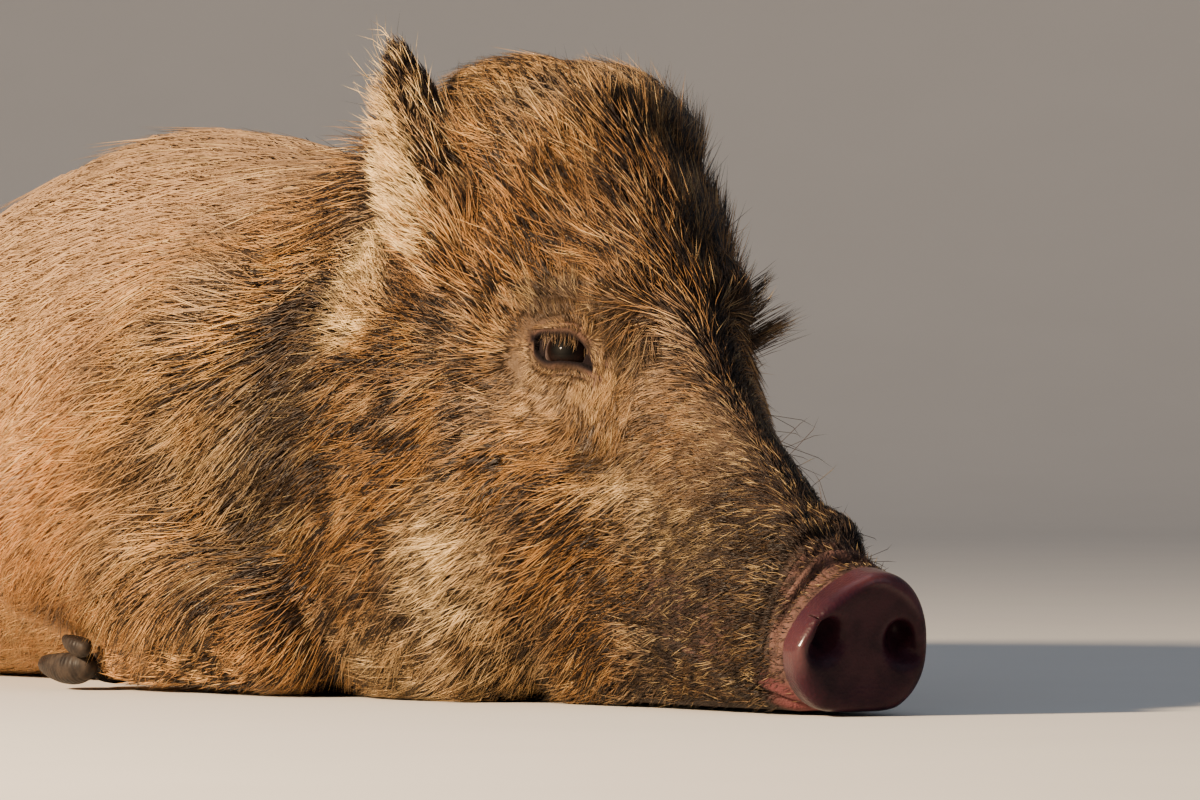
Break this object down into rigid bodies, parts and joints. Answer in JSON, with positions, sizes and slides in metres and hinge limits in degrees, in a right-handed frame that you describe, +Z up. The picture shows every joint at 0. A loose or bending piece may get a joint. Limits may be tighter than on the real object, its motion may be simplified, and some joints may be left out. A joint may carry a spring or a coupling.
{
  "type": "wild boar",
  "caption": "Life-size still model of a young wild boar sow at rest, lying on her breast with folded legs and her chin and snout on the floor.",
  "frame": {"origin": "middle of the footprint, on the floor under the belly", "axes": "+X along the trunk towards the head and snout, +Y to the animal's left, +Z up"},
  "size_m": [1.089, 0.4194, 0.3102],
  "materials": {
    "coat": "coarse bristles, golden tan tips over dark brown roots",
    "snout": "bare damp skin, dark purplish brown",
    "eye": "wet, dark brown",
    "hoof": "worn dark horn"
  },
  "bodies": {
    "root": {"belly": "coat", "chest": "coat", "ear_left": "coat", "ear_right": "coat", "eye_left": "eye", "eye_right": "eye", "fore_claw_inner_left": "hoof", "fore_claw_inner_right": "hoof", "fore_claw_outer_left": "hoof", "fore_claw_outer_right": "hoof", "fore_dewclaw_inner_left": "hoof", "fore_dewclaw_inner_right": "hoof", "fore_dewclaw_outer_left": "hoof", "fore_dewclaw_outer_right": "hoof", "foreleg_left": "coat", "foreleg_right": "coat", "head": "coat", "hind_claw_inner_left": "hoof", "hind_claw_inner_right": "hoof", "hind_claw_outer_left": "hoof", "hind_claw_outer_right": "hoof", "hind_dewclaw_inner_left": "hoof", "hind_dewclaw_inner_right": "hoof", "hind_dewclaw_outer_left": "hoof", "hind_dewclaw_outer_right": "hoof", "hindleg_left": "coat", "hindleg_right": "coat", "lower_jaw": "coat", "neck": "coat", "rump": "coat", "snout_disc": "snout", "tail": "coat"}
  },
  "joints": []
}
